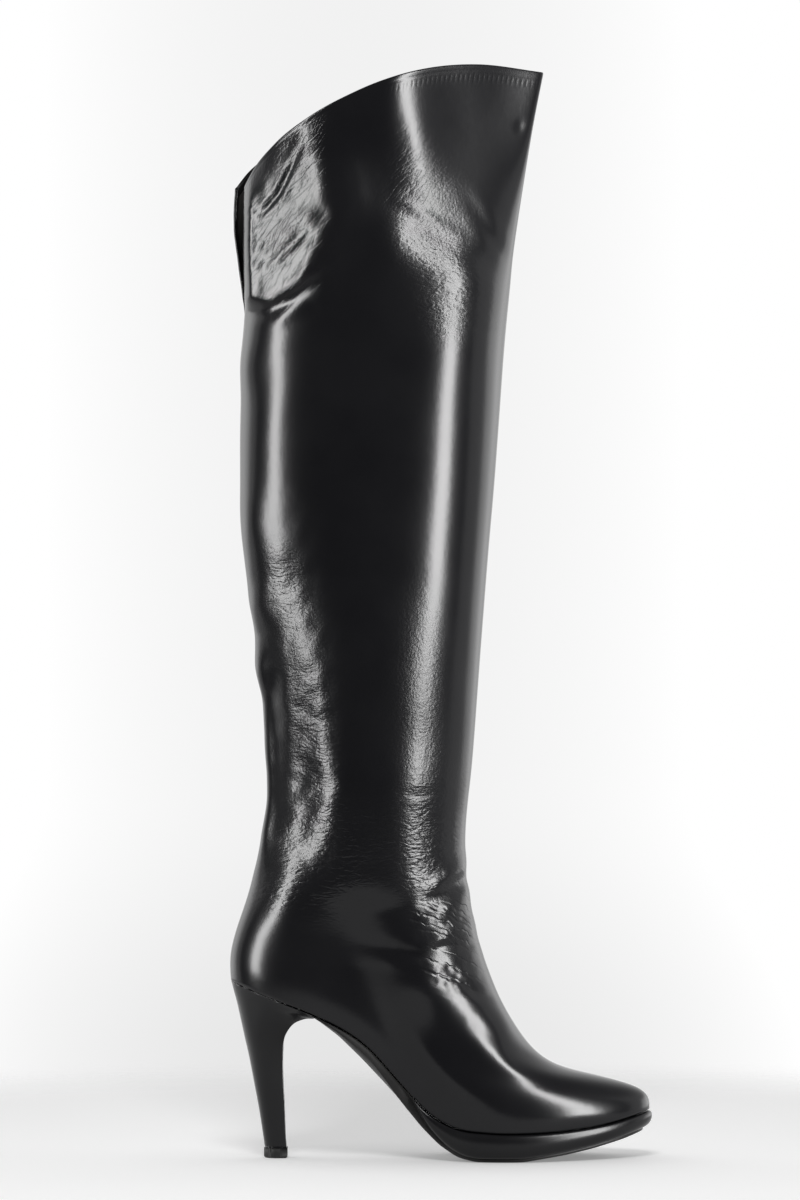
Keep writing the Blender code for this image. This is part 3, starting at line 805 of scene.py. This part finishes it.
beyond = np.zeros_like(skin)
beyond[slit_row:, 0] += skin[slit_row:, 0] - skin[slit_row:, 1]
beyond[slit_row:, -1] += skin[slit_row:, -1] - skin[slit_row:, -2]
beyond /= np.maximum(np.linalg.norm(beyond, axis=2, keepdims=True), 1e-9)
rise = skin[-1] - skin[-2]
beyond[-1] += rise / np.linalg.norm(rise, axis=1, keepdims=True)
beyond[slit_row, [0, -1]] = (0, 0, 1)
free = edge_loop(beyond)
free /= np.linalg.norm(free, axis=1, keepdims=True)
inward = -edge_loop(np.concatenate([np.zeros_like(tucks), leather_normals]))
lip = [
    edge_loop(skin) + LIP * (math.sin(a) * free + (1 - math.cos(a)) * inward)
    for a in np.radians(LIP_TURNS)
]
lip += [edge_loop(skin) + 2 * LIP * inward - inset * free for inset in FACING]
lip_size = len(lip) * len(free)
lip_ids = count * width + np.arange(lip_size).reshape(len(lip), -1)
lip_ids = np.concatenate([edge_loop(ids)[None], lip_ids])
lip_ids = np.concatenate([lip_ids, lip_ids[:, :1]], axis=1)
points = np.concatenate([skin.reshape(-1, 3), np.concatenate(lip)])
quads = np.concatenate([grid_quads(ids), grid_quads(lip_ids)])
upper, used = make_piece("upper_leather", points, quads, polished, "polished_leather", "upper")

# %% [markdown]
# ## Where the leather works
# The finish needs to know where wrinkles belong. Soft patches on the side view give each point its share
# of pebbled grain, of cross wrinkles at the ankle and the back of the calf, of slanting ones on the flap,
# and of crumpled leather over the instep. The counter and the toe are stiff and stay smooth.

# %% Patches of wrinkles
# A patch's row is a swell's row
PATCHES = {
    "grain": [
        (44, 245, 26, 95, 4, 1.0), (110, 220, 20, 75, 4, 0.9), (80, 279, 28, 34, 0, 0.4),
        (105, 290, 12, 50, 0, 0.5), (35, 522, 34, 46, 0, 0.45), (113, 508, 26, 18, -20, 1.1),
        (126, 530, 17, 11, -30, 1.2), (40, 558, 30, 13, 42, 0.8), (107, 541, 17, 20, 0, 1.0),
        (102, 583, 14, 24, 0, 0.25), (123, 468, 16, 16, 0, 0.8), (28, 400, 8, 60, 0, 0.2),
        (113, 129, 30, 24, 0, 0.2),
    ],
    "cross": [
        (110, 182, 18, 32, 8, 0.8), (112, 158, 14, 10, 0, 0.5), (46, 173, 24, 28, 10, 0.7),
        (41, 150, 24, 9, 10, 0.8), (123, 476, 20, 16, 0, 0.6), (113, 506, 24, 14, -20, 0.8),
        (35, 317, 12, 22, 20, 0.5), (52, 225, 18, 62, 10, 0.6),
    ],
    "slant": [
        (32, 511, 30, 34, 0, 1.0), (49, 563, 28, 16, 38, 1.0), (110, 525, 22, 12, -35, 0.5),
        (105, 550, 15, 22, 0, 0.6),
    ],
    "crumple": [
        (113.5, 137.5, 11, 6, 0, 1.0), (122, 127.5, 8, 7, 0, 1.0), (124, 104, 15, 9, -15, 1.0),
        (134, 140, 8, 22, 0, 0.5),
    ],
}
spots = points[used]
for name, rows in PATCHES.items():
    amount = sum(swell(spots[:, 0], spots[:, 2], *row) for row in rows)
    note(upper, name, np.clip(amount, 0, 1.2))
print("patches:", {name: len(rows) for name, rows in PATCHES.items()})

# %% Measures for the stitches
down = np.linalg.norm(np.diff(skin, axis=0), axis=2)[::-1]
below_collar = np.concatenate([np.cumsum(down, axis=0)[::-1], np.zeros((1, width))])
round_collar = np.append(0, np.cumsum(np.linalg.norm(np.diff(skin[-1], axis=0), axis=1)))
lip_blank = np.zeros(lip_size)
note(upper, "below_collar", np.append(np.minimum(below_collar, 60).ravel(), lip_blank)[used])
note(upper, "along_collar", np.append(np.tile(round_collar, count), lip_blank)[used])
print("collar: %.0f mm round" % round_collar[-1])

# %% [markdown]
# ## The lining
# Inside, the boot is lined with thin matt leather. From above one sees it all the way down to the sock.
# It is the upper's grid set in by the wall's thickness, with fewer points as it is hardly seen, and it
# ends behind the facing.

# %% Lining
WALL = 1.6
THINNED, FACED_ROWS = 3, 4
lining_leather, place = start_finish("lining_leather")
nap = noise(place, 900.0, 3.0)
set_finish(
    lining_leather, nap * 0.05 + noise(place, 120.0, 2.0) * 0.08,
    Base_Color=(nap + 0.5).blend((0.016, 0.015, 0.0145, 1), (0.030, 0.028, 0.027, 1)),
    Roughness=0.58 + nap * 0.1,
)
last_row = len(leather) - FACED_ROWS
some_rows = np.append(np.arange(0, last_row, THINNED), last_row)
some_columns = np.append(np.arange(0, width - 1, THINNED), width - 1)
set_in = (leather - WALL * leather_normals)[some_rows][:, some_columns]
lining_ids = np.arange(set_in.shape[0] * set_in.shape[1]).reshape(set_in.shape[:2])
lining_ids[closed[some_rows], -1] = lining_ids[closed[some_rows], 0]
facing_in = grid_quads(lining_ids)[:, ::-1]
make_piece("lining", set_in.reshape(-1, 3), facing_in, lining_leather, "sock_leather")

# %% [markdown]
# ## Sole pieces
# Platform, sole and heel are stacks of rings too. Each ring has an outer and an inner side from the back
# to the toe; a stack is closed by joining the two sides of its lowest and highest ring. The outlines come
# from the upper's lowest ring, grown or shrunk by a few millimetres.

# %% Outlines of the foot
SEAM_GAP = 0.7


def sole_offset(x, distance):
    """The sole line moved along its own normal, upwards if positive."""
    slope = smooth(x + 0.5, *SOLE_LINE.values()) - smooth(x - 0.5, *SOLE_LINE.values())
    return smooth(x, *SOLE_LINE.values()) + distance * np.sqrt(1 + slope**2)


def sole_fullness(share):
    """Fullness of the upper's lowest ring, by the share of the way from heel to toe."""
    return smooth(share, WIDTH_SHARES, [rings[f"fullness_{k}"][0] for k in range(len(WIDTH_SHARES))])


def outline(start, grow, columns=130):
    """The foot's plan at the sole, grown outwards, from x = start to the toe: x and both sides."""
    back, front = rings["back_x"][0] - grow, rings["front_x"][0] + grow
    first = math.acos(1 - 2 * (max(start, back) - back) / (front - back))
    share = (1 - np.cos(np.linspace(first, math.pi, columns))) / 2
    half = (sole_fullness(share) + grow) * 2 * np.sqrt(share * (1 - share))
    x = back + (front - back) * share
    return x, toe_swing(x) - half, toe_swing(x) + half - arch_hollow(share)


print("plan at the sole: %.0f mm wide" % np.ptp(outline(0, 0)[1:]))

# %% Stacks of rings
SOFT_STEP = 0.5


def filled(rows, count):
    """A table's rows with more of them in between, on smooth curves."""
    numbers = np.arange(len(next(iter(rows.values()))))
    at = np.linspace(0, numbers[-1], count)
    return list(zip(*(smooth(at, numbers, column) for column in rows.values())))


def both_sides(x, outer, inner, z):
    """The points of a ring's two sides."""
    return np.stack([x, outer, z], axis=1), np.stack([x, inner, z], axis=1)


def stacked(rows):
    """Points and quads of rings on top of each other, each a pair of sides, closed at both ends."""
    loops = np.stack([np.concatenate([outer, inner[::-1]]) for outer, inner in rows])
    total, size = loops.shape[:2]
    ids = np.arange(total * size).reshape(total, size)
    quads = [grid_quads(np.concatenate([ids, ids[:, :1]], axis=1))]
    for row, turn in ((ids[0], 1), (ids[-1], -1)):
        sides = np.stack([row[: size // 2], row[: size // 2 - 1 : -1]])
        quads.append(grid_quads(sides[::turn]))
    return loops.reshape(-1, 3), np.concatenate(quads)


def soft_line(line, x, spread):
    """Straight runs between a line's points with their corners rounded off, never under the floor."""
    even = np.arange(line["x"][0], line["x"][-1] + SOFT_STEP, SOFT_STEP)
    rounded = soften(np.interp(even, line["x"], line["z"]), spread / SOFT_STEP)
    return np.maximum(np.interp(x, even, rounded), 0)


# %% [markdown]
# ## Covered platform
# The platform is a wooden or foam wedge wrapped in the same leather, pulled over its edge, so its top
# edge rolls over to the seam under the foot and catches a narrow light. Its finish is the upper's leather
# without the wrinkles, stretched smooth.

# %% Covered leather
covered, place = start_finish("covered_leather")
pull = noise(place, 40.0, 3.0)
set_finish(
    covered, noise(place, 820.0, 2.0) * 0.012 + noise(place, 210.0, 2.0) * 0.012,
    Base_Color=pull.ramp(-0.3, 0.3).blend((0.0033, 0.0033, 0.0037, 1), (0.0048, 0.0048, 0.0052, 1)),
    Roughness=0.25 + pull * 0.10,
    IOR=GLAZE,
)

# %% Platform
PLATFORM_BASE = table(
    "x z",
    [
        (103.5, 34.6), (107, 27), (111, 20), (118, 12.2), (124.5, 6.8), (131, 3.4), (138, 1.9),
        (165, 1.9), (188, 5.2), (204, 8.4), (220, 12.5), (238, 18.4),
    ],
)
PLATFORM_EDGE = table(
    "ledge share",
    [(-4, 0.0), (-1.2, 0.03), (0.3, 0.2), (1, 0.5), (0.8, 0.82), (-0.3, 0.98), (-3, 1.0)],
)
PLATFORM_LEDGE, PLATFORM_CORNERS = 1.4, 2.5


def platform_ring(ledge, share):
    x, outer, inner = outline(PLATFORM_BASE["x"][0], PLATFORM_LEDGE * ledge)
    low = soft_line(PLATFORM_BASE, x, PLATFORM_CORNERS)
    high = sole_offset(x, -SEAM_GAP)
    return both_sides(x, outer, inner, low + (high - low) * share)


platform_rings = [platform_ring(*row) for row in filled(PLATFORM_EDGE, 37)]
make_piece("platform_cover", *stacked(platform_rings), covered, "covered_leather", "platform")

# %% [markdown]
# ## Sole
# The walking sole is one piece of leather, blackened and burnished, from the toe to under the heel's
# front. It is set in under the platform and curls up thin along the waist. A stack of rings gives the
# waist its rounded underside, which a flat slab would lack.

# %% Sole leather
burnished, place = start_finish("sole_leather")
rub = noise(place, 60.0, 4.0)
set_finish(
    burnished, noise(place, 700.0, 2.0) * 0.015,
    Base_Color=rub.ramp(-0.25, 0.3).blend((0.0045, 0.0044, 0.0044, 1), (0.0075, 0.0072, 0.0070, 1)),
    Roughness=0.44 + rub * 0.16,
    IOR=GLAZE,
)

# %% Sole piece
OUTSOLE_BASE = table(
    "x z",
    [
        (41, 83.8), (46.5, 80.6), (52.5, 76.6), (62, 69.5), (75, 56.6), (88, 42.5), (100, 29.0),
        (108, 19.0), (118, 9.0), (128, 2.4), (138, 0), (165, 0), (188, 3.4), (204, 6.6),
        (220, 10.8), (236, 16),
    ],
)
OUTSOLE_EDGE = table(
    "grow share waist_share",
    [(-14, 0.0, 0.0), (-6, 0.0, 0.2), (-1.0, 0.06, 0.45), (-0.2, 0.5, 0.62), (-0.4, 1.0, 1.0)],
)
OUTSOLE_INSET, HEEL_FRONT_INSET, SUNK, THINNEST = 3.5, 1.3, 0.2, 0.2
WAIST_END, WAIST_BLEND = 100, 20


def sole_ring(grow, share, waist_share):
    x, outer, inner = outline(OUTSOLE_BASE["x"][0], grow - OUTSOLE_INSET, 190)
    middle = (outer + inner) / 2
    half = (inner - outer) / 2 + OUTSOLE_INSET * (1 - np.clip((x - 96) / 26, 0, 1))
    half = half - HEEL_FRONT_INSET * ease(x, 57, 48)
    low = soft_line(OUTSOLE_BASE, x, 2.0)
    at_waist = sole_offset(x, -SEAM_GAP)
    under_platform = np.minimum(soft_line(PLATFORM_BASE, x, PLATFORM_CORNERS) + SUNK, at_waist)
    high = np.where(x < PLATFORM_BASE["x"][0], at_waist, under_platform)
    waist = np.clip((WAIST_END - x) / WAIST_BLEND, 0, 1)
    z = low + np.maximum(high - low, THINNEST) * np.maximum(share, waist * waist_share)
    return both_sides(x, middle - half, middle + half, z)


sole_rings = [sole_ring(*row) for row in filled(OUTSOLE_EDGE, 17)]
make_piece("sole", *stacked(sole_rings), burnished, "sole_leather", "outsole")

# %% [markdown]
# ## Heel and heel tip
# The high heel is a turned core under the same leather. Its back and sides are round and its front, the
# breast, is flat. It is lofted from the seat, which follows the counter's edge, down to the tip. The tip
# is a pad of black rubber, pinned on, a little wider than the heel.

# %% Heel's measures
HEEL = table(
    "back_x back_z front_x front_z half_width seat_follow",
    [
        (1.9, 98.7, 49.5, 80.1, 28.8, 1.0), (3.2, 93.5, 48.0, 79.4, 26.6, 0.8),
        (5.0, 86.8, 42.8, 78.7, 23.2, 0.45), (7.2, 77.0, 36.4, 75.3, 19.6, 0.15),
        (9.4, 67.0, 31.8, 67.6, 16.6, 0.0), (11.7, 57.0, 30.8, 57.4, 14.0, 0.0),
        (14.2, 44.0, 30.9, 44.0, 11.6, 0.0), (17.2, 28.0, 31.7, 28.0, 9.6, 0.0),
        (19.4, 14.0, 32.2, 14.0, 8.0, 0.0), (20.6, 5.8, 32.8, 5.8, 7.2, 0.0),
    ],
)
SEAT_INSET = 0.3
HEEL_COLUMNS, ROUND_COLUMNS, ROUND_SHARE, BREAST_TAPER = 44, 0.6, 0.55, 0.12
PLAN = ("back_x", "front_x", "half_width")


def heel_plan(back_x, front_x, half_width):
    """A D-shaped plan from the round back to the flat breast: x, half width and the share of the way."""
    t = np.linspace(0, 1, HEEL_COLUMNS)
    turn = np.clip(t / ROUND_COLUMNS, 0, 1) * math.pi / 2
    run = np.clip((t - ROUND_COLUMNS) / (1 - ROUND_COLUMNS), 0, 1)
    share = ROUND_SHARE * (1 - np.cos(turn)) + (1 - ROUND_SHARE) * run
    half = half_width * np.sin(turn) * (1 - BREAST_TAPER * run**2)
    return back_x + (front_x - back_x) * share, half, share


def foot_half(x):
    """Half the upper's width along its lowest ring."""
    share = np.clip((x - HEEL["back_x"][0]) / (rings["front_x"][0] - HEEL["back_x"][0]), 0, 1)
    return sole_fullness(share) * 2 * np.sqrt(share * (1 - share))


print("heel: %.0f mm high at the back" % HEEL["back_z"][0])


# %% Heel
def heel_ring(back_x, back_z, front_x, front_z, half_width, seat_follow):
    x, half, share = heel_plan(back_x, front_x, half_width)
    top_x, top_half, _ = heel_plan(*(HEEL[name][0] for name in PLAN))
    half = half + seat_follow * (foot_half(top_x) - SEAT_INSET - top_half)
    seat = sole_offset(x, -SEAM_GAP)
    z = back_z + (front_z - back_z) * share
    z = z + seat_follow * (seat - seat[0] - (seat[-1] - seat[0]) * share)
    return both_sides(x, -half, half, z)


def round_edges(piece, width):
    """A narrow rounding of the sharp edges, as a rasp leaves it."""
    rounding = piece.modifiers.new("rounding", "BEVEL")
    rounding.width = width * MM
    rounding.segments = 3
    rounding.limit_method = "ANGLE"
    rounding.angle_limit = math.radians(35)


heel_rings = [heel_ring(*row) for row in filled(HEEL, 64)[::-1]]
heel, _ = make_piece("heel_cover", *stacked(heel_rings), covered, "covered_leather", "heel")
round_edges(heel, 0.3)

# %% Heel tip
# Wider than the heel's end by, height above the floor
TIP_ROWS = ((-0.3, 0.0), (0.5, 0.8), (0.5, 3.0), (0.5, 5.5))
rubber, place = start_finish("tip_rubber")
speckle = noise(place, 1500.0, 2.0)
set_finish(
    rubber, speckle * 0.05,
    Base_Color=(speckle + 0.5).blend((0.004, 0.004, 0.004, 1), (0.008, 0.008, 0.008, 1)),
    Roughness=0.55 + speckle * 0.15,
    IOR=GLAZE,
)
end_back, end_front, end_half = (HEEL[name][-1] for name in PLAN)
tip_rings = []
for wider, z in TIP_ROWS:
    x, half, _ = heel_plan(end_back - wider, end_front + wider, end_half + wider)
    tip_rings.append(both_sides(x, -half, half, np.full_like(x, z)))
tip, _ = make_piece("heel_tip_pad", *stacked(tip_rings), rubber, "tip_rubber", "heel_tip")
round_edges(tip, 0.35)

# %% [markdown]
# ## Sock
# The sock is the leather that the foot stands on. It can only be seen from above, down the shaft, so the
# plain solid stays and takes the lining's finish.

# %% Sock
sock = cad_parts["insole"]
for slot in sock.material_slots:
    slot.material = lining_leather
print("sock:", sock.name)
